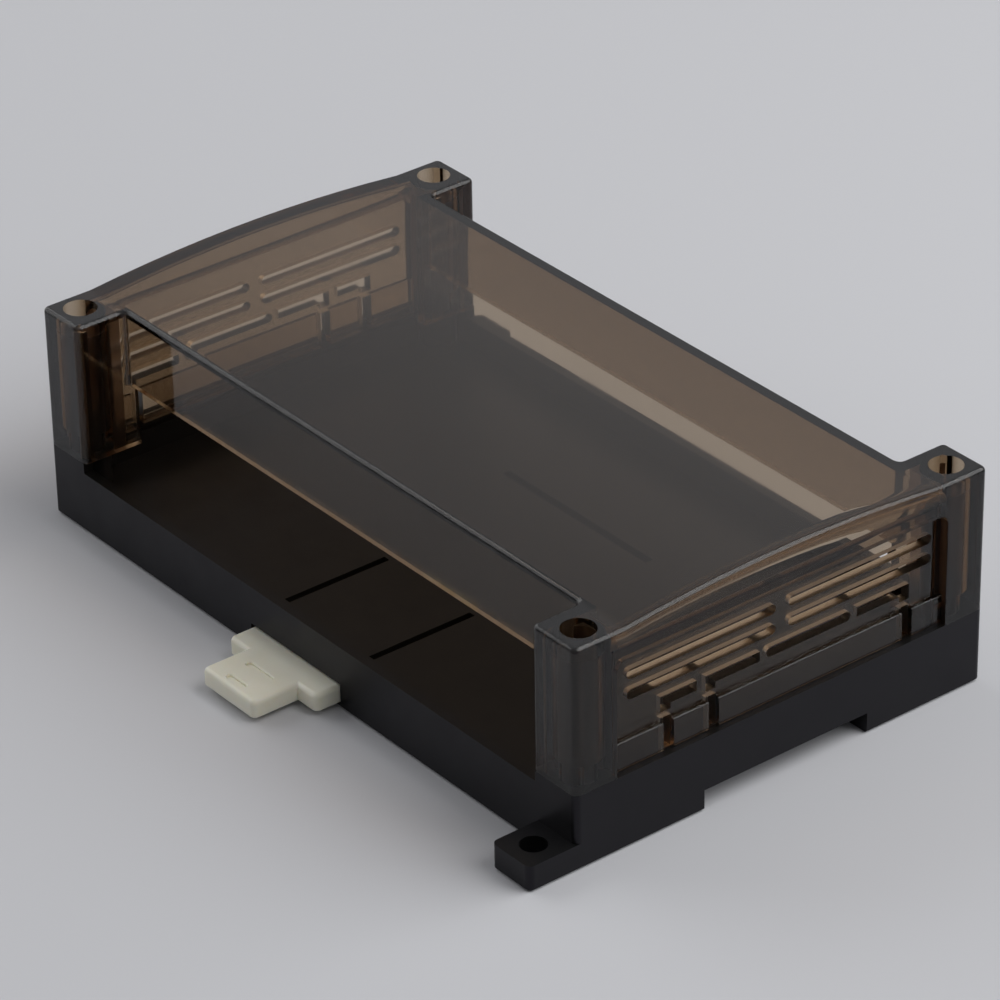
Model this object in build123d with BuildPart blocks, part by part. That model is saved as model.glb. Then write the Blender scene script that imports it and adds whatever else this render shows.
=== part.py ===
"""Project box for a 35 mm mounting rail: a black base, a smoke-tinted clear cover,
the four screws that hold the cover down and a white latch that grips the rail.

X runs along the box, Y across it and Z up. The origin is the middle of the base's
underside, which is also the middle of the two mounting holes. The rail runs along X.
All sizes are in millimetres.
"""

from build123d import *
from math import copysign
import os

# The closed box
box_length = 150.0
box_width = 90.0
base_height = 14.4
post_top = 42.4
crown_rise = 1.9
crease_radius = 6.0
corner_radius = 1.2
edge_radius = 0.9

# Cover: a thin shell whose long sides step in between four hollow corner posts
cover_wall = 2.0
post_length = 11.0
post_width = 10.3
terminal_height = 15.0

# Screws down through the posts
screw_from_side = 5.0
head_hole_radius = 3.1
screw_hole_radius = 1.7
tube_wall = 1.4
screw_floor = 4.0

# Sunk panel in each end of the cover
end_post_width = 8.8
recess_depth = 1.9
recess_wall = 1.9
recess_from_top = 5.9
recess_radius = 2.0
ceiling_radius = 1.8
recess_back_radius = 1.5
band_height = 5.7
band_depth = 1.0
band_edge_radius = 0.3

# Vent slots in the sunk panel, along the end as seen from outside
slot_height = 1.9
first_row_drop = 4.7
row_pitch = 3.9
left_margin = 3.6
right_margin = 2.0
row_gap = 2.8
row_gap_offset = 0.8

# Break-out windows for cables, outlined by slots
window_row_pitch = 4.15
leg_width = 2.2
leg_bridge = 1.1
leg_from_left = 11.8
small_window_width = 9.7
leg_from_right = 8.0
small_arm = 7.8
large_arm = 11.8
arm_gap = 1.4
foot_slot_over_band = 0.5

# Tongues along the foot of the cover's end walls, inside the base's rim
tongue_depth = 1.1
tongue_gap = 0.2

# Base: a tray whose floor stands on a raised rail channel
base_wall = 2.0
floor_top = 6.8
floor_thickness = 2.0
side_drop = 2.0
side_drop_clearance = 0.6
board_room = 1.8
ledge_width = 1.4
boss_radius = 3.9
pilot_clearance = 0.03
pilot_floor = 0.8
rib_thickness = 1.5
rib_pitch = 14.4
base_edge_chamfer = 0.4

# Channel for the rail
channel_width = 36.2
channel_middle = 0.6
channel_depth = 4.0
channel_wall = 1.9
hook_reach = 1.7
hook_length = 40.2
hook_thickness = 2.2
rail_gap = 1.4
hook_lead = 0.8

# Mounting ears
ear_length = 9.8
ear_reach = 9.8
ear_height = 5.0
ear_hole_radius = 2.4

# Rail latch
latch_x = -1.4
latch_width = 25.2
latch_thickness = 3.5
latch_over_clearance = 0.4
latch_gap = 0.2
latch_side_clearance = 0.25
latch_under_clearance = 0.15
nose_over_clearance = 0.3
head_depth = 4.9
tab_width = 15.0
tab_length = 9.4
nose_width = 19.6
nose_thickness = 1.8
nose_grip = 2.8
nose_chamfer = 1.2
shoulder_gap = 1.6
latch_travel = 4.0
latch_corner = 1.2
latch_edge = 0.9
latch_under_edge = 0.3
groove_width = 1.2
groove_depth = 0.5
groove_edge = 0.2
outer_groove_length = 5.0
inner_groove_length = 7.0
groove_spacing = 4.9
groove_from_tip = 2.0

# Guides and stop for the latch, under the floor of the base
guide_lip = 1.4
guide_lip_clearance = 0.2
guide_from_wall = 5.4
guide_slot_overrun = 1.9
stop_width = 5.2
stop_length = 3.0
stop_from_channel = 12.5
stop_clearance = 0.2
stop_side_clearance = 0.6
stop_recess = 0.5

# Cover screws
screw_radius = 1.4
screw_head_radius = 2.75
screw_head_height = 2.0
screw_length = 10.0
screw_recess_width = 0.9
screw_recess_length = 3.2
screw_recess_depth = 1.1

# Places worked out from the sizes above
end_x = box_length / 2
side_y = box_width / 2
post_x = end_x - post_length
panel_y = side_y - post_width
inner_x = end_x - base_wall
inner_y = side_y - base_wall
terminal_bottom = base_height - side_drop
terminal_top = terminal_bottom + terminal_height
screw_x = end_x - screw_from_side
screw_y = side_y - screw_from_side
screw_points = [(sx * screw_x, sy * screw_y) for sx in (-1, 1) for sy in (-1, 1)]
tube_radius = head_hole_radius + tube_wall
screw_seat = base_height + screw_floor
recess_half = side_y - end_post_width
recess_top = post_top - recess_from_top
band_top = base_height + band_height
recess_floor_x = end_x - recess_depth
recess_inner_x = recess_floor_x - recess_wall
cover_inner_x = end_x - cover_wall
thick_y = recess_half + recess_wall
thick_top = recess_top + recess_wall
upper_row = recess_top - first_row_drop
lower_row = upper_row - row_pitch
window_row = lower_row - window_row_pitch
foot_slot_top = band_top + foot_slot_over_band
leg_bottom = foot_slot_top + leg_bridge
pocket_top = floor_top - floor_thickness
tongue_bottom = base_height - tongue_depth
tongue_half = screw_y - boss_radius - tongue_gap
ledge_height = tongue_bottom - board_room
channel_low_y = channel_middle - channel_width / 2
channel_high_y = channel_middle + channel_width / 2
hook_top = channel_depth - rail_gap
hook_bottom = hook_top - hook_thickness
ear_hole_x = end_x - ear_length / 2
ear_hole_y = side_y + ear_reach / 2
latch_top = pocket_top - latch_over_clearance
latch_bottom = latch_top - latch_thickness
latch_clear_half = latch_width / 2 + latch_side_clearance
nose_tip_y = channel_low_y + nose_grip
nose_top = latch_bottom + nose_thickness
shoulder_y = channel_low_y - channel_wall - shoulder_gap
stop_y = channel_low_y - stop_from_channel
stop_bottom = latch_bottom + stop_recess
guide_front = guide_from_wall - inner_y
guide_slot_back = channel_low_y + guide_slot_overrun
guide_lip_height = latch_bottom - guide_lip_clearance
head_front_y = -side_y - latch_gap - head_depth
tab_tip_y = head_front_y - tab_length

# The end planes look outward: their x runs along the end, their y runs up
end_planes = [
    Plane(origin=(end_x, 0, 0), x_dir=(0, 1, 0), z_dir=(1, 0, 0)),
    Plane(origin=(-end_x, 0, 0), x_dir=(0, -1, 0), z_dir=(-1, 0, 0)),
]


def box_between(low, high, mode=Mode.ADD):
    """A block from its low corner to its high corner, in the part being built."""
    middle = [(a + b) / 2 for a, b in zip(low, high)]
    with Locations(tuple(middle)):
        Box(high[0] - low[0], high[1] - low[1], high[2] - low[2], mode=mode)


def slab(low_s, high_s, low_z, high_z, mode=Mode.ADD):
    """A rectangle in an end plane, from its low corner to its high corner."""
    with Locations(((low_s + high_s) / 2, (low_z + high_z) / 2)):
        Rectangle(high_s - low_s, high_z - low_z, mode=mode)


def stepped_plan(inset):
    """The cover's plan: a rectangle whose long sides step in between the posts."""
    Rectangle(box_length - 2 * inset, box_width - 2 * inset)
    step_x = 2 * (post_x + inset)
    step_y = panel_y - inset
    for side in (-1, 1):
        with Locations((0, side * (step_y + side_y) / 2)):
            Rectangle(step_x, side_y - step_y, mode=Mode.SUBTRACT)


def roof_section(sketch, inset):
    """The cover's section across the box: flat over the posts, arched between them."""
    top = post_top - inset
    arch_y = panel_y - inset
    bottom = base_height - 1
    with BuildLine() as outline:
        Polyline(
            (-arch_y, top), (-side_y, top), (-side_y, bottom), (side_y, bottom), (side_y, top), (arch_y, top)
        )
        ThreePointArc((-arch_y, top), (0, top + crown_rise), (arch_y, top))
    make_face(outline.edges())
    creases = [v for v in sketch.vertices() if abs(abs(v.X) - arch_y) < 0.01]
    fillet(creases, radius=crease_radius)


def row_slot(low_s, high_s, z):
    """One long slot with round ends."""
    with Locations(((low_s + high_s) / 2, z)):
        SlotOverall(high_s - low_s, slot_height)


def window_corner(leg_s, arm_end_s):
    """An upside-down L: a leg and an arm that runs from the leg's top to arm_end_s."""
    half = leg_width / 2
    arm_top = window_row + slot_height / 2
    slab(leg_s - half, leg_s + half, leg_bottom, arm_top)
    if arm_end_s > leg_s:
        slab(leg_s - half, arm_end_s, arm_top - slot_height, arm_top)
    else:
        slab(arm_end_s, leg_s + half, arm_top - slot_height, arm_top)


def vent_slots():
    """All the slots of one end, in its end plane."""
    low_s = -recess_half + left_margin
    high_s = recess_half - right_margin
    for z in (upper_row, lower_row):
        row_slot(low_s, row_gap_offset - row_gap / 2, z)
        row_slot(row_gap_offset + row_gap / 2, high_s, z)
    small_leg = -recess_half + leg_from_left
    large_leg = small_leg + small_window_width
    right_leg = recess_half - leg_from_right
    large_end = large_leg - leg_width / 2 + large_arm
    right_end = right_leg + leg_width / 2 - large_arm
    window_corner(small_leg, small_leg - leg_width / 2 + small_arm)
    window_corner(large_leg, large_end)
    window_corner(right_leg, right_end)
    row_slot(large_end + arm_gap, right_end - arm_gap, window_row)
    for leg in (small_leg, large_leg, right_leg):
        slab(leg - leg_width / 2, leg + leg_width / 2, tongue_bottom - 1, foot_slot_top)


# Hollow of the cover: the ceiling's ends are rounded, the end walls stand further in behind
# the sunk panels, and four pockets reach into the posts
with BuildPart() as hollow:
    with BuildSketch(Plane.XY.offset(base_height)):
        stepped_plan(cover_wall)
        Rectangle(box_length, 2 * thick_y, mode=Mode.INTERSECT)
    extrude(amount=post_top + crown_rise - base_height)
    with BuildSketch(Plane.YZ) as hollow_section:
        roof_section(hollow_section, cover_wall)
    extrude(amount=end_x, both=True, mode=Mode.INTERSECT)
    ceiling_edges = hollow.edges().filter_by(lambda e: e.center().Z > post_top - cover_wall - 0.2)
    ceiling_ends = ceiling_edges.filter_by(lambda e: abs(abs(e.center().X) - cover_inner_x) < 0.01)
    fillet(ceiling_ends, radius=ceiling_radius)
    for end in (-1, 1):
        with BuildSketch(Plane.XZ) as thickening:
            with Locations((end * (recess_inner_x + end_x) / 2, (base_height + thick_top) / 2)):
                Rectangle(end_x - recess_inner_x, thick_top - base_height)
            inner_corner = thickening.vertices().sort_by(lambda v: end * v.X - v.Y)[0]
            fillet(inner_corner, radius=recess_back_radius)
        extrude(amount=thick_y, both=True, mode=Mode.SUBTRACT)
    for x, y in screw_points:
        low_x, high_x = sorted((copysign(post_x + cover_wall, x), copysign(cover_inner_x, x)))
        low_y, high_y = sorted((copysign(thick_y, y), copysign(side_y - cover_wall, y)))
        box_between((low_x, low_y, base_height), (high_x, high_y, post_top - cover_wall))

with BuildPart() as cover:
    with BuildSketch(Plane.XY.offset(base_height)) as plan:
        stepped_plan(0)
        fillet(plan.vertices(), radius=corner_radius)
    extrude(amount=post_top + crown_rise - base_height)
    with BuildSketch(Plane.YZ) as roof_outline:
        roof_section(roof_outline, 0)
    extrude(amount=end_x, both=True, mode=Mode.INTERSECT)
    # The upper rim, rounded all round
    rim = [e for e in cover.edges() if e.center().Z > post_top - 0.2 and not e.is_interior]
    fillet(rim, radius=edge_radius)
    add(hollow.part, mode=Mode.SUBTRACT)
    # Openings for terminals between the posts, under the long panels
    for side in (-1, 1):
        low_y, high_y = sorted((side * (panel_y - cover_wall - 1), side * (panel_y + 1)))
        box_between((-post_x, low_y, base_height), (post_x, high_y, terminal_top), Mode.SUBTRACT)
    # Screw tubes in the posts
    with BuildSketch(Plane.XY.offset(base_height)):
        with Locations(*screw_points):
            Circle(tube_radius)
    extrude(amount=post_top - cover_wall / 2 - base_height)
    with BuildSketch(Plane.XY.offset(post_top)):
        with Locations(*screw_points):
            Circle(head_hole_radius)
    extrude(amount=screw_seat - post_top, mode=Mode.SUBTRACT)
    with BuildSketch(Plane.XY.offset(screw_seat)):
        with Locations(*screw_points):
            Circle(screw_hole_radius)
    extrude(amount=-screw_floor, mode=Mode.SUBTRACT)
    # Sunk panels, with a shallower band along their foot
    for end_plane in end_planes:
        with BuildSketch(end_plane) as sunk:
            slab(-recess_half, recess_half, band_top, recess_top)
            fillet(sunk.vertices().sort_by(Axis.Y)[-2:], radius=recess_radius)
        extrude(amount=-recess_depth, mode=Mode.SUBTRACT)
        with BuildSketch(end_plane):
            slab(-recess_half, recess_half, base_height, band_top + recess_radius)
        extrude(amount=-band_depth, mode=Mode.SUBTRACT)
    # The band's upper edge is rounded
    step_edges = cover.edges().filter_by(Axis.Y).filter_by(lambda e: abs(e.center().Z - band_top) < 0.01)
    band_edges = step_edges.filter_by(lambda e: abs(abs(e.center().X) - end_x + band_depth) < 0.01)
    fillet(band_edges, radius=band_edge_radius)
    # Tongues inside the base's rim, then the slots through the panels and the tongues
    for end in (-1, 1):
        near_x, far_x = sorted((end * recess_inner_x, end * (inner_x - tongue_gap)))
        box_between((near_x, -tongue_half, tongue_bottom), (far_x, tongue_half, base_height))
    for end_plane in end_planes:
        with BuildSketch(end_plane):
            vent_slots()
        extrude(amount=-(recess_depth + recess_wall + 1), mode=Mode.SUBTRACT)

with BuildPart() as base:
    with BuildSketch() as footprint:
        Rectangle(box_length, box_width)
        fillet(footprint.vertices(), radius=corner_radius)
    extrude(amount=base_height)
    with BuildSketch() as ears:
        for corner in (-1, 1):
            with Locations((corner * ear_hole_x, -corner * (side_y + ear_reach / 2 - corner_radius))):
                Rectangle(ear_length, ear_reach + 2 * corner_radius)
        fillet(ears.vertices(), radius=corner_radius)
    extrude(amount=ear_height)
    chamfer(base.faces().sort_by(Axis.Z)[0].edges(), length=base_edge_chamfer)
    for corner in (-1, 1):
        with BuildSketch(Plane.XY.offset(ear_height)):
            with Locations((corner * ear_hole_x, -corner * ear_hole_y)):
                Circle(ear_hole_radius)
        extrude(amount=-ear_height, mode=Mode.SUBTRACT)
    # Tray, with ledges along the ends for a circuit board
    tray_x = inner_x - ledge_width
    box_between((-tray_x, -inner_y, floor_top), (tray_x, inner_y, base_height), Mode.SUBTRACT)
    box_between((-inner_x, -inner_y, ledge_height), (inner_x, inner_y, base_height), Mode.SUBTRACT)
    # The long walls are lower between the posts
    drop_x = post_x + side_drop_clearance
    box_between((-drop_x, -side_y - 1, terminal_bottom), (drop_x, side_y + 1, base_height), Mode.SUBTRACT)
    # Bosses under the posts
    with BuildSketch(Plane.XY.offset(floor_top)):
        with Locations(*screw_points):
            Circle(boss_radius)
    extrude(amount=base_height - floor_top)
    with BuildSketch(Plane.XY.offset(base_height)):
        with Locations(*screw_points):
            Circle(screw_radius + pilot_clearance)
    extrude(amount=-(base_height - floor_top + pilot_floor), mode=Mode.SUBTRACT)

    # Rail channel, full length, and the pockets beside it
    box_between((-end_x - 1, channel_low_y, -1), (end_x + 1, channel_high_y, channel_depth), Mode.SUBTRACT)
    front_pocket = (-inner_y, channel_low_y - channel_wall)
    back_pocket = (channel_high_y + channel_wall, inner_y)
    for low_y, high_y in (front_pocket, back_pocket):
        box_between((-inner_x, low_y, -1), (inner_x, high_y, pocket_top), Mode.SUBTRACT)
    # Ribs across the pockets; the latch keeps its own bay clear of them
    guide_x = latch_clear_half + rib_thickness / 2
    rib_count = int((inner_x - rib_pitch / 2) // rib_pitch)
    rib_places = [latch_x + step * rib_pitch for step in range(-rib_count, rib_count + 1)]
    bay = guide_x + rib_thickness
    front_ribs = [x for x in rib_places if abs(x - latch_x) > bay] + [latch_x - guide_x, latch_x + guide_x]
    for ribs, (low_y, high_y) in ((front_ribs, front_pocket), (rib_places, back_pocket)):
        for x in ribs:
            half = rib_thickness / 2
            box_between((x - half, low_y, 0), (x + half, high_y, pocket_top))
    # Doorway for the latch in the long wall, and for its nose in the channel's wall
    box_between(
        (latch_x - latch_clear_half, -side_y - 1, latch_bottom - latch_under_clearance),
        (latch_x + latch_clear_half, -inner_y, pocket_top),
        Mode.SUBTRACT,
    )
    nose_half = nose_width / 2 + latch_side_clearance
    box_between(
        (latch_x - nose_half, channel_low_y - channel_wall, -1),
        (latch_x + nose_half, channel_low_y, nose_top + nose_over_clearance),
        Mode.SUBTRACT,
    )
    # Lips that carry the latch's edges, each under a slot in the floor
    for side in (-1, 1):
        lip_from, lip_to = side * (latch_clear_half - guide_lip), side * latch_clear_half
        low_x, high_x = sorted((latch_x + lip_from, latch_x + lip_to))
        box_between((low_x, guide_front, 0), (high_x, channel_low_y - channel_wall, guide_lip_height))
        box_between((low_x, guide_front, channel_depth), (high_x, guide_slot_back, floor_top), Mode.SUBTRACT)
    # Stop that holds the latch in its window
    box_between(
        (latch_x - stop_width / 2, stop_y - stop_length / 2, stop_bottom),
        (latch_x + stop_width / 2, stop_y + stop_length / 2, pocket_top),
    )
    # Fixed hook on the other wall of the channel, under its own slot
    with BuildSketch(Plane.YZ.offset(latch_x)):
        with BuildLine():
            Polyline(
                (channel_high_y, hook_bottom),
                (channel_high_y - hook_reach + hook_lead, hook_bottom),
                (channel_high_y - hook_reach, hook_bottom + hook_lead),
                (channel_high_y - hook_reach, hook_top),
                (channel_high_y, hook_top),
                close=True,
            )
        make_face()
    extrude(amount=hook_length / 2, both=True)
    box_between(
        (latch_x - hook_length / 2, channel_high_y - hook_reach, channel_depth),
        (latch_x + hook_length / 2, channel_high_y, floor_top),
        Mode.SUBTRACT,
    )

with BuildPart() as latch:
    with BuildSketch(Plane.XY.offset(latch_bottom)) as latch_plan:
        with Locations((latch_x, (head_front_y + shoulder_y) / 2)):
            Rectangle(latch_width, shoulder_y - head_front_y)
        with Locations((latch_x, (tab_tip_y + head_front_y) / 2)):
            Rectangle(tab_width, head_front_y - tab_tip_y)
        tip_corners = latch_plan.vertices().group_by(Axis.Y)[0]
        head_corners = latch_plan.vertices().group_by(Axis.Y)[1].filter_by(
            lambda v: abs(v.X - latch_x) > latch_width / 2 - 0.01
        )
        fillet(tip_corners + head_corners, radius=latch_corner)
    extrude(amount=latch_top - latch_bottom)
    # Soft upper edges, and a small bevel under the part that stands outside
    upper_edges = latch.faces().sort_by(Axis.Z)[-1].edges()
    fillet(upper_edges.filter_by(lambda e: e.center().Y < shoulder_y - 1), radius=latch_edge)
    under_edges = latch.faces().sort_by(Axis.Z)[0].edges()
    chamfer(under_edges.filter_by(lambda e: e.center().Y < head_front_y + 1), length=latch_under_edge)
    # Two finger grooves on the tab
    for groove_y, groove_length in (
        (tab_tip_y + groove_from_tip, outer_groove_length),
        (tab_tip_y + groove_from_tip + groove_spacing, inner_groove_length),
    ):
        with BuildSketch(Plane.XY.offset(latch_top)):
            with Locations((latch_x, groove_y)):
                SlotOverall(groove_length, groove_width)
        extrude(amount=-groove_depth, mode=Mode.SUBTRACT)
    groove_rims = latch.faces().sort_by(Axis.Z)[-1].inner_wires().edges()
    chamfer(groove_rims, length=groove_edge)
    box_between(
        (latch_x - nose_width / 2, shoulder_y, latch_bottom), (latch_x + nose_width / 2, nose_tip_y, nose_top)
    )
    tip = latch.edges().filter_by(Axis.X).sort_by(Axis.Y)[-2:].sort_by(Axis.Z)[0]
    chamfer(tip, length=nose_chamfer)
    # Window round the base's stop, long enough for the travel
    window_half = stop_width / 2 + stop_side_clearance
    box_between(
        (latch_x - window_half, stop_y - stop_length / 2 - stop_clearance, latch_bottom),
        (latch_x + window_half, stop_y + stop_length / 2 + latch_travel + stop_clearance, latch_top),
        Mode.SUBTRACT,
    )

# One cheese-head screw, then the four as a group
with BuildPart() as screw:
    with BuildSketch():
        Circle(screw_head_radius)
    extrude(amount=screw_head_height)
    with BuildSketch():
        Circle(screw_radius)
    extrude(amount=-screw_length)
    with BuildSketch(Plane.XY.offset(screw_head_height)):
        Rectangle(screw_recess_length, screw_recess_width)
        Rectangle(screw_recess_width, screw_recess_length)
    extrude(amount=-screw_recess_depth, mode=Mode.SUBTRACT)

with BuildPart() as cover_screws:
    with Locations(*[(x, y, screw_seat) for x, y in screw_points]):
        add(screw.part)

os.makedirs("parts", exist_ok=True)
for name, piece in (("base", base), ("cover", cover), ("rail_latch", latch), ("cover_screws", cover_screws)):
    piece.part.label = name
    export_step(piece.part, f"parts/{name}.step")
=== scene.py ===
from math import cos, sin

import bpy
from mathutils import Matrix, Vector


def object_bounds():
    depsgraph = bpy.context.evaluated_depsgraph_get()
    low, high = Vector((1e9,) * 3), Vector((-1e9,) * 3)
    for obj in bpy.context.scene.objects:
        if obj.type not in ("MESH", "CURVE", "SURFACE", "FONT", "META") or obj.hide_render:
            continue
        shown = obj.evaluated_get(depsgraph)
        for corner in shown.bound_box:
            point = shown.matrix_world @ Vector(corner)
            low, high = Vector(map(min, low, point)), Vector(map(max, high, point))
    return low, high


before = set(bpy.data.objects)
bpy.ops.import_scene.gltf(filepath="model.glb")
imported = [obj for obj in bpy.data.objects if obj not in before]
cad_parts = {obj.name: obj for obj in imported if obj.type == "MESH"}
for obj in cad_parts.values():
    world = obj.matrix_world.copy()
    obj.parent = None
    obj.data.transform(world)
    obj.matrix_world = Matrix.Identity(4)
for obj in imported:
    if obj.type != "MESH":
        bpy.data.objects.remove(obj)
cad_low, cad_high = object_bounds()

# The photograph's camera: angles in radians, lengths in metres, and the sight line's
# offset from the middle of the base's underside, to the right and upwards in the picture
CAMERA_AZIMUTH = 0.9061
CAMERA_ELEVATION = 0.5369
CAMERA_ROLL = -0.0186
CAMERA_DISTANCE = 0.9006
CAMERA_RIGHT = -0.00074
CAMERA_UP = 0.01632
CAMERA_NEAREST = 0.01
SENSOR_MM = 36.0
FOCAL_MM = 5.0727 * SENSOR_MM

# The room: its colour, its strength to the eye and as light, the share of it that is left at
# the horizon, and the heights between which it grows to the full strength, as sines
BACKDROP_COLOUR = (0.59, 0.59, 0.61, 1)
BACKDROP_STRENGTH = 1.0
FILL_STRENGTH = 0.34
HORIZON_SHARE = 0.2
HORIZON_HEIGHTS = (0.05, 0.45)

# The floor: its colour, and its size and its depth below the object in metres
FLOOR_COLOUR = (0.66, 0.665, 0.69, 1)
FLOOR_SIZE = 12.0
FLOOR_GAP = 0.0001

# The soft lights: place and size in metres, and power in watts
SOFT_LIGHTS = {
    "back_light": ((0.58, 0.68, 0.85), 1.3, 14.5),
    "left_light": ((-0.98, -0.30, 0.52), 1.15, 4.8),
}

# Smoke-grey clear plastic: how much light each metre of it takes, per colour, the density that
# this is set against, the refractive index, and the light let through to what stands behind
SMOKE_TAKES = (332.0, 430.0, 565.0)
SMOKE_DENSITY = 620.0
PLASTIC_IOR = 1.46
LIT_THROUGH = (0.88, 0.87, 0.86, 1)

# How matt the slots' walls, the hidden faces and the rounded edges are, and the painted shade: how
# much light the hidden faces pass, and the edges together with the slots' upper and side walls, per colour
SLOT_MATT = 0.35
HIDDEN_MATT = 0.3
EDGE_MATT = 0.22
CLEAR_PASSES = (1, 1, 1, 1)
HIDDEN_PAINTED_SHADE = (0.12, 0.075, 0.055, 1)
EDGE_PAINTED_SHADE = (0.40, 0.38, 0.37, 1)

# The cover's end panels, in metres: their outer and inner faces, inwards from the end, where
# their sides stand beside the middle and within which slack, and the bounds of their slots
PANEL_OUTER_FACE = 0.0019
PANEL_INNER_FACE = 0.0038
PANEL_HALF_WIDTH = 0.0362
PANEL_SIDE_SLACK = 0.0001
SLOTS_HALF_WIDTH = 0.0355
SLOTS_BOTTOM = 0.0145
SLOTS_TOP = 0.0345

# The hollows round the screw tubes in the cover's posts, where shade is painted, in metres: their reach
# inwards from the end and across the box, their top, the tube's middle, a radius just outside its bore,
# and the height above which the bore is polished and has no painted shade
HOLLOW_X = (0.0015, 0.0095)
HOLLOW_Y = (0.0352, 0.0435)
HOLLOW_TOP = 0.041
TUBE_MIDDLE = (0.005, 0.040)
OUTSIDE_BORE = 0.0034
BORE_POLISHED_ABOVE = 0.0385

# A height in metres just above the faces that the cover stands on
FOOT_BELOW = 0.0146

# How the shares of a face's normal along the axes sort the cover's faces. A face turns to an
# axis when its share there is over FACING. It is a rounded edge in full while its largest
# share is under the first number of ROUND, and not at all over the second. Of the edges, those
# that lean up or down count: in full when the upright share is over the second of LEANING
FACING = 0.5
ROUND = (0.84, 0.97)
LEANING = (0.1, 0.25)

# Black plastic, ivory nylon and blackened steel: the two colours that each of them varies
# between, and how the black plastic mirrors, with a violet tint of its reflections that is painted light
BLACK_COLOURS = ((0.0034, 0.0037, 0.0032, 1), (0.0052, 0.0055, 0.0050, 1))
BLACK_MIRROR_LEVEL = 0.27
BLACK_PAINTED_REFLECTION_TINT = (0.88, 0.82, 1.0, 1)
IVORY_COLOURS = ((0.85, 0.83, 0.69, 1), (0.90, 0.88, 0.75, 1))
STEEL_COLOURS = ((0.03, 0.03, 0.032, 1), (0.09, 0.088, 0.085, 1))


class Tree:
    """A node tree, and short ways to add the nodes that the looks are made of. A pattern runs
    from 0 to 1. Scales are counts per metre, and depths are in metres."""

    def __init__(self, node_tree):
        self.nodes = node_tree.nodes
        self.link = node_tree.links.new

    def fill(self, node, values):
        """Sets a node's inputs, by name or number, to plain values or to other nodes' outputs."""
        for name, value in values.items():
            if isinstance(value, bpy.types.NodeSocket):
                self.link(value, node.inputs[name])
            else:
                node.inputs[name].default_value = value

    def add(self, kind, output, values):
        """A new node with its inputs set: gives the named output."""
        node = self.nodes.new(kind)
        self.fill(node, values)
        return node.outputs[output]

    def coordinates(self, kind):
        """The shaded point's coordinates of one kind, such as Object, its place in the object."""
        return self.nodes.new("ShaderNodeTexCoord").outputs[kind]

    def parts(self, vector):
        """The X, Y and Z of a vector."""
        node = self.nodes.new("ShaderNodeSeparateXYZ")
        self.link(vector, node.inputs["Vector"])
        return [node.outputs[axis] for axis in "XYZ"]

    def noise(self, scale, detail=3.0):
        """A noise pattern in the object's own coordinates."""
        place = self.coordinates("Object")
        return self.add("ShaderNodeTexNoise", "Fac", {"Vector": place, "Scale": scale, "Detail": detail})

    def spread(self, source, low, high, source_low=0.3, source_high=0.7):
        """A source's values stretched to run from low to high, and held there past its ends."""
        return self.add("ShaderNodeMapRange", "Result", {
            "Value": source,
            "From Min": source_low,
            "From Max": source_high,
            "To Min": low,
            "To Max": high,
        })

    def between(self, share, first, second):
        """A colour that goes from the first to the second with a share."""
        ramp = self.nodes.new("ShaderNodeValToRGB")
        ramp.color_ramp.elements[0].color = first
        ramp.color_ramp.elements[1].color = second
        self.link(share, ramp.inputs["Fac"])
        return ramp.outputs["Color"]

    def mottled(self, colours, scale, detail, source_low=0.3, source_high=0.7):
        """A colour that varies between two with a noise pattern."""
        share = self.spread(self.noise(scale, detail), 0.0, 1.0, source_low, source_high)
        return self.between(share, *colours)

    def blend(self, share, first, second):
        """Goes from one colour, another node's output, to a second, plain one with a share."""
        mix = self.nodes.new("ShaderNodeMix")
        mix.data_type = "RGBA"
        self.fill(mix, {"Factor": share, "A": first, "B": second})
        return mix.outputs["Result"]

    def bump(self, height, depth):
        """Small relief from a height pattern."""
        return self.add("ShaderNodeBump", "Normal", {"Height": height, "Distance": depth})

    def maths(self, operation, *values):
        """One sum: each value is a number or another node's output."""
        node = self.nodes.new("ShaderNodeMath")
        node.operation = operation
        self.fill(node, dict(enumerate(values)))
        return node.outputs["Value"]

    def each(self, operation, first, *others):
        """One operation from the first value on through all the others."""
        result = first
        for value in others:
            result = self.maths(operation, result, value)
        return result

    def all_of(self, *shares):
        """The product of shares: 1 where all of them are 1."""
        return self.each("MULTIPLY", *shares)

    def largest(self, *values):
        """The largest of several values."""
        return self.each("MAXIMUM", *values)

    def over(self, value, bound):
        """1 where a value is over a bound."""
        return self.maths("GREATER_THAN", value, bound)

    def under(self, value, bound):
        """1 where a value is under a bound."""
        return self.maths("LESS_THAN", value, bound)

    def within(self, value, low, high):
        """1 where a value lies between two bounds."""
        return self.maths("COMPARE", value, (low + high) / 2, (high - low) / 2)

    def distance(self, values, middle):
        """How far a point in a plane lies from a middle."""
        offsets = [self.maths("SUBTRACT", value, centre) for value, centre in zip(values, middle)]
        squares = [self.maths("MULTIPLY", offset, offset) for offset in offsets]
        return self.maths("SQRT", self.maths("ADD", *squares))


def new_material(name):
    """A new node material: the material, its tree and its shader."""
    material = bpy.data.materials.new(name)
    material.use_nodes = True
    return material, Tree(material.node_tree), material.node_tree.nodes["Principled BSDF"]


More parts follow.
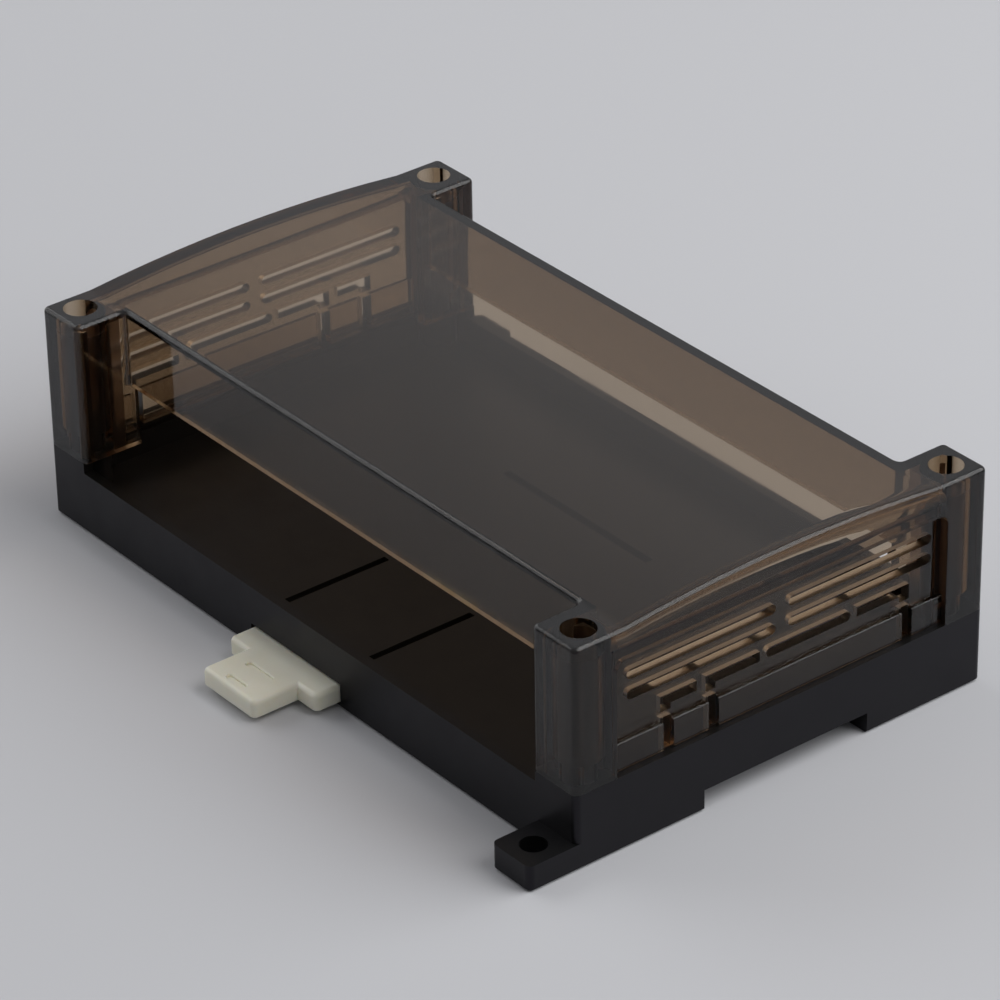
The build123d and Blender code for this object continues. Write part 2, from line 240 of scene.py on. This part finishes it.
def cover_places(tree):
    """Shares for four kinds of place on the cover: the slots' walls, those of them that don't
    face up, the hidden faces in the posts, beside the panels and at the foot, and the rounded
    edges."""
    facing = tree.parts(tree.coordinates("Normal"))
    faces_up = facing[2]
    faces_x, faces_y, faces_z = [tree.maths("ABSOLUTE", share) for share in facing]
    place = tree.parts(tree.coordinates("Object"))
    along, across, height = [tree.maths("ABSOLUTE", length) for length in place]
    inwards = tree.maths("SUBTRACT", cad_high.x, along)

    slots = tree.all_of(
        tree.within(inwards, PANEL_OUTER_FACE, PANEL_INNER_FACE),
        tree.under(across, SLOTS_HALF_WIDTH),
        tree.within(height, SLOTS_BOTTOM, SLOTS_TOP),
        tree.under(faces_x, FACING),
    )
    slot_sides = tree.all_of(slots, tree.under(faces_up, FACING))

    outside_bore = tree.over(tree.distance((inwards, across), TUBE_MIDDLE), OUTSIDE_BORE)
    hollows = tree.all_of(
        tree.within(inwards, *HOLLOW_X),
        tree.within(across, *HOLLOW_Y),
        tree.under(height, HOLLOW_TOP),
        tree.largest(outside_bore, tree.under(height, BORE_POLISHED_ABOVE)),
    )
    panel_sides = tree.all_of(
        tree.within(across, PANEL_HALF_WIDTH - PANEL_SIDE_SLACK, PANEL_HALF_WIDTH + PANEL_SIDE_SLACK),
        tree.under(inwards, PANEL_OUTER_FACE),
        tree.over(faces_y, FACING),
    )
    foot = tree.all_of(tree.under(height, FOOT_BELOW), tree.over(faces_z, FACING))

    edges = tree.all_of(
        tree.spread(tree.largest(faces_x, faces_y, faces_z), 1.0, 0.0, *ROUND),
        tree.spread(faces_z, 0.0, 1.0, *LEANING),
    )
    return slots, slot_sides, tree.largest(hollows, panel_sides, foot), edges


def smoke_plastic():
    """Clear, glossy plastic with a smoke tint that deepens with the way light goes inside it, and with
    painted shade on its hidden faces, rounded edges and slot walls.
    """
    material, tree, surface = new_material("smoke_plastic")
    slots, slot_sides, hidden, edges = cover_places(tree)
    # Painted shade: the rounded edges and the slots' upper and side walls let less light through, a dark line
    # beside the edges' highlights and in the slots
    passes_with_painted_shade = tree.between(tree.largest(edges, slot_sides), CLEAR_PASSES, EDGE_PAINTED_SHADE)
    polish = tree.spread(tree.noise(scale=70.0, detail=5.0), low=0.012, high=0.045)
    matt = ((slots, SLOT_MATT), (hidden, HIDDEN_MATT), (edges, EDGE_MATT))
    tree.fill(surface, {
        # Painted shade on the hidden faces: a dark tint for the shade in the posts' hollows, beside the
        # panels and in the seam at the foot
        "Base Color": tree.blend(hidden, passes_with_painted_shade, HIDDEN_PAINTED_SHADE),
        "Roughness": tree.largest(polish, *[tree.maths("MULTIPLY", *pair) for pair in matt]),
        "IOR": PLASTIC_IOR,
        "Transmission Weight": 1.0,
        "Normal": tree.bump(tree.noise(scale=30.0, detail=1.0), depth=0.00004),
    })
    tint = tree.add("ShaderNodeVolumeAbsorption", "Volume", {
        "Color": (*[1 - takes / SMOKE_DENSITY for takes in SMOKE_TAKES], 1),
        "Density": SMOKE_DENSITY,
    })

    # Lamps light what stands behind the plastic, as they do through the real one
    path = tree.nodes.new("ShaderNodeLightPath")
    lit_through = tree.largest(path.outputs["Is Shadow Ray"], path.outputs["Is Diffuse Ray"])
    clear = tree.add("ShaderNodeBsdfTransparent", "BSDF", {"Color": LIT_THROUGH})
    mixed = tree.add("ShaderNodeMixShader", "Shader", {
        0: lit_through,
        1: surface.outputs["BSDF"],
        2: clear,
    })
    tree.fill(tree.nodes["Material Output"], {"Surface": mixed, "Volume": tint})
    return material


def black_plastic():
    """Near-black satin plastic with a moulded grain."""
    material, tree, surface = new_material("black_plastic")
    tree.fill(surface, {
        "Base Color": tree.mottled(BLACK_COLOURS, scale=90.0, detail=4.0),
        "Roughness": tree.spread(tree.noise(scale=160.0, detail=6.0), low=0.30, high=0.42),
        "IOR": 1.5,
        "Specular IOR Level": BLACK_MIRROR_LEVEL,
        # The violet tint of the reflections is painted light: it stands in for the bluish light of the room
        "Specular Tint": BLACK_PAINTED_REFLECTION_TINT,
        "Normal": tree.bump(tree.noise(scale=1500.0, detail=2.0), depth=0.000004),
    })
    return material


def ivory_nylon():
    """Slightly waxy ivory nylon."""
    material, tree, surface = new_material("ivory_nylon")
    tree.fill(surface, {
        "Base Color": tree.mottled(IVORY_COLOURS, scale=140.0, detail=4.0),
        "Roughness": tree.spread(tree.noise(scale=300.0, detail=5.0), low=0.38, high=0.52),
        "IOR": 1.53,
        "Subsurface Weight": 0.3,
        "Subsurface Radius": (1.0, 0.8, 0.5),
        "Subsurface Scale": 0.002,
        "Normal": tree.bump(tree.noise(scale=1800.0), depth=0.00002),
    })
    return material


def blackened_steel():
    """Black-coated screw steel, with the coat rubbed thinner here and there."""
    material, tree, surface = new_material("blackened_steel")
    tree.fill(surface, {
        "Base Color": tree.mottled(STEEL_COLOURS, scale=900.0, detail=5.0, source_low=0.45, source_high=0.75),
        "Metallic": 0.85,
        "Roughness": tree.spread(tree.noise(scale=1500.0), low=0.32, high=0.5),
    })
    return material


def dress(node, material):
    """Gives a CAD node its material."""
    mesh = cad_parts[node].data
    mesh.materials.clear()
    mesh.materials.append(material)


def floor():
    """The plain pale floor."""
    material, tree, surface = new_material("floor")
    tree.fill(surface, {
        "Base Color": FLOOR_COLOUR,
        "Roughness": tree.spread(tree.noise(scale=20.0), low=0.85, high=0.95),
        "Specular IOR Level": 0.1,
    })
    bpy.ops.mesh.primitive_plane_add(size=FLOOR_SIZE, location=(0, 0, cad_low.z - FLOOR_GAP))
    plane = bpy.context.object
    plane.name = "floor"
    plane.data.materials.append(material)


def room():
    """A pale room, darker near the horizon: its full strength to the eye, less of it as light."""
    world = bpy.data.worlds.new("room")
    bpy.context.scene.world = world
    world.use_nodes = True
    tree = Tree(world.node_tree)
    path = tree.nodes.new("ShaderNodeLightPath")
    ways = ("Is Camera Ray", "Is Glossy Ray", "Is Transmission Ray")
    shown = tree.largest(*[path.outputs[way] for way in ways])
    strength = tree.spread(shown, FILL_STRENGTH, BACKDROP_STRENGTH, 0.0, 1.0)
    height = tree.parts(tree.coordinates("Generated"))[2]
    upwards = tree.spread(height, HORIZON_SHARE, 1.0, *HORIZON_HEIGHTS)
    tree.fill(tree.nodes["Background"], {
        "Color": BACKDROP_COLOUR,
        "Strength": tree.maths("MULTIPLY", strength, upwards),
    })


def soft_light(name, place, size, watts):
    """A square soft light that faces the object."""
    lamp = bpy.data.lights.new(name, "AREA")
    lamp.shape = "SQUARE"
    lamp.size = size
    lamp.energy = watts
    holder = bpy.data.objects.new(name, lamp)
    holder.location = place
    aim = (cad_low + cad_high) / 2 - Vector(place)
    holder.rotation_euler = aim.to_track_quat("-Z", "Y").to_euler()
    bpy.context.scene.collection.objects.link(holder)


def camera():
    """The photograph's camera."""
    a, e, roll = CAMERA_AZIMUTH, CAMERA_ELEVATION, CAMERA_ROLL
    back = Vector((sin(a) * cos(e), -cos(a) * cos(e), sin(e)))
    level_right = Vector((cos(a), sin(a), 0))
    level_up = back.cross(level_right)
    right = cos(roll) * level_right + sin(roll) * level_up
    up = cos(roll) * level_up - sin(roll) * level_right
    place = CAMERA_RIGHT * right + CAMERA_UP * up + CAMERA_DISTANCE * back
    lens = bpy.data.cameras.new("camera")
    lens.sensor_width = SENSOR_MM
    lens.lens = FOCAL_MM
    lens.clip_start = CAMERA_NEAREST
    holder = bpy.data.objects.new("camera", lens)
    turn = Matrix((right, up, back)).transposed()
    holder.matrix_world = Matrix.Translation(place) @ turn.to_4x4()
    bpy.context.scene.collection.objects.link(holder)
    bpy.context.scene.camera = holder


dress("cover", smoke_plastic())
dress("base", black_plastic())
dress("rail_latch", ivory_nylon())
dress("cover_screws", blackened_steel())
floor()
room()
for name, (place, size, watts) in SOFT_LIGHTS.items():
    soft_light(name, place, size, watts)
camera()
bpy.context.scene.view_settings.view_transform = "Standard"
